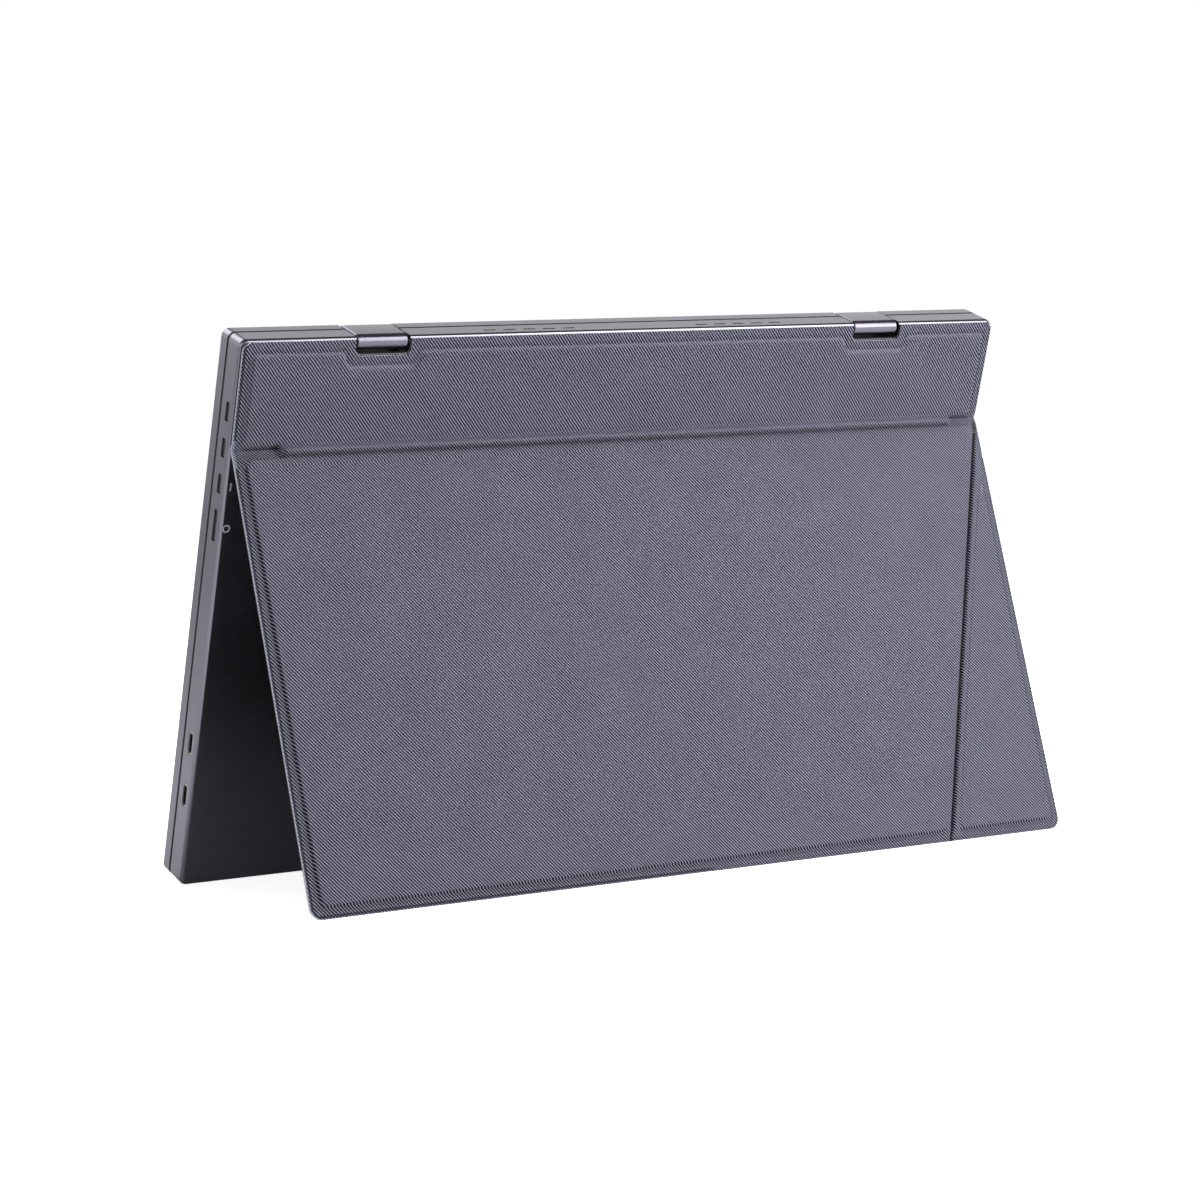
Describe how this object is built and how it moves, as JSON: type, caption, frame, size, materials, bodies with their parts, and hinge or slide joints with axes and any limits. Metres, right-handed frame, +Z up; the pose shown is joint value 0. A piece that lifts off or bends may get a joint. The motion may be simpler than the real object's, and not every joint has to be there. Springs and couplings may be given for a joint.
{
  "type": "portable monitor with cover",
  "caption": "Slim folding portable monitor: two screen slabs joined along the top by geared double hinges, with a fabric cover whose flap folds out as a stand.",
  "frame": {"origin": "centre of the standing part's footprint, on the surface it stands on", "axes": "+X across the slabs towards the side with the buttons and ports, +Y to the rear where the stand flap's foot is, +Z up"},
  "size_m": [0.358, 0.1254, 0.2191],
  "materials": {
    "anodised_shell": "dark grey anodised, fine bead blast",
    "hinge_metal": "satin anodised",
    "bezel": "fine texture",
    "screen": "anti-glare",
    "backlight": "white moulding",
    "frame_sheet": "mill finish",
    "steel": "plain",
    "screw": "zinc plated",
    "circuit_board": "solder mask",
    "chip": "moulded",
    "plated": "nickel plated",
    "black_plastic": "moulded",
    "cable": "jacket",
    "pad": "matte",
    "ink": "printed",
    "lining": "brushed microfibre",
    "stiffener": "glass fibre sheet",
    "cover_fabric": "twill weave",
    "key": "satin"
  },
  "bodies": {
    "base": {"base_shell": "anodised_shell", "base_bezel": "bezel", "base_screen": "screen", "base_backlight": "backlight", "base_frame": "frame_sheet", "base_frame_screws": "screw", "main_board": "circuit_board", "board_chips": "chip", "port_shells": "plated", "port_tongues": "black_plastic", "button_board": "circuit_board", "button_switches": "chip", "speakers": "black_plastic", "base_hinge_brackets": "steel", "base_bracket_screws": "screw", "base_hinge_shafts": "steel", "base_hinge_gears": "steel", "base_cable": "cable", "base_magnets": "plated", "seam_pads": "pad", "printed_marks": "ink", "strip_lining": "lining", "strip_board": "stiffener", "strip_fabric": "cover_fabric", "top_crease": "cover_fabric"},
    "hinge_links": {"left_hinge_cover": "hinge_metal", "right_hinge_cover": "hinge_metal", "hinge_plates": "steel", "friction_clips": "steel", "hinge_cable": "cable"},
    "idler_rear": {"idler_gears_rear": "steel"},
    "idler_front": {"idler_gears_front": "steel"},
    "lid": {"lid_shell": "anodised_shell", "lid_bezel": "bezel", "lid_screen": "screen", "lid_backlight": "backlight", "lid_frame": "frame_sheet", "lid_frame_screws": "screw", "lid_hinge_brackets": "steel", "lid_bracket_screws": "screw", "lid_hinge_shafts": "steel", "lid_hinge_gears": "steel", "lid_cable": "cable", "driver_board": "circuit_board"},
    "flap": {"flap_lining": "lining", "flap_board": "stiffener", "flap_fabric": "cover_fabric", "flap_magnets": "plated", "wing_crease": "cover_fabric"},
    "wing": {"wing_lining": "lining", "wing_board": "stiffener", "wing_fabric": "cover_fabric"},
    "button_1": {"key_1": "key"},
    "button_2": {"key_2": "key"},
    "button_3": {"key_3": "key"},
    "button_long": {"key_long": "key"}
  },
  "joints": [
    {"name": "hinge_link_turn", "type": "hinge", "parent": "base", "child": "hinge_links", "pos_m": [0, 0.01682, 0.21256], "axis": [-1, 0, 0], "range_deg": [0, 157.5]},
    {"name": "lid_turn", "type": "hinge", "parent": "hinge_links", "child": "lid", "pos_m": [0, 0.00662, 0.21578], "axis": [-1, 0, 0], "range_deg": [0, 157.5]},
    {"name": "idler_rear_turn", "type": "hinge", "parent": "hinge_links", "child": "idler_rear", "pos_m": [0, 0.01342, 0.21363], "axis": [-1, 0, 0], "range_deg": [-1, 158]},
    {"name": "idler_front_turn", "type": "hinge", "parent": "hinge_links", "child": "idler_front", "pos_m": [0, 0.01002, 0.21471], "axis": [-1, 0, 0], "range_deg": [-158, 1]},
    {"name": "flap_fold", "type": "hinge", "parent": "base", "child": "flap", "pos_m": [0, 0.00804, 0.17255], "axis": [1, 0, 0], "range_deg": [-34.8, 16], "deforming": ["top_crease"]},
    {"name": "wing_fold", "type": "hinge", "parent": "flap", "child": "wing", "pos_m": [-0.1783, 0.00804, 0.17255], "axis": [-0.3078, -0.2841, 0.908], "range_deg": [-90, 0], "deforming": ["wing_crease"]},
    {"name": "button_1_press", "type": "slide", "parent": "base", "child": "button_1", "axis": [-1, 0, 0], "range_m": [0, 0.0004], "stiffness_N_per_m": 2000},
    {"name": "button_2_press", "type": "slide", "parent": "base", "child": "button_2", "axis": [-1, 0, 0], "range_m": [0, 0.0004], "stiffness_N_per_m": 2000},
    {"name": "button_3_press", "type": "slide", "parent": "base", "child": "button_3", "axis": [-1, 0, 0], "range_m": [0, 0.0004], "stiffness_N_per_m": 2000},
    {"name": "button_long_press", "type": "slide", "parent": "base", "child": "button_long", "axis": [-1, 0, 0], "range_m": [0, 0.0004], "stiffness_N_per_m": 2000}
  ],
  "couplings": [
    {"joint": "lid_turn", "follows": "hinge_link_turn", "ratio": 1},
    {"joint": "idler_rear_turn", "follows": "hinge_link_turn", "ratio": 1},
    {"joint": "idler_front_turn", "follows": "hinge_link_turn", "ratio": -1}
  ]
}
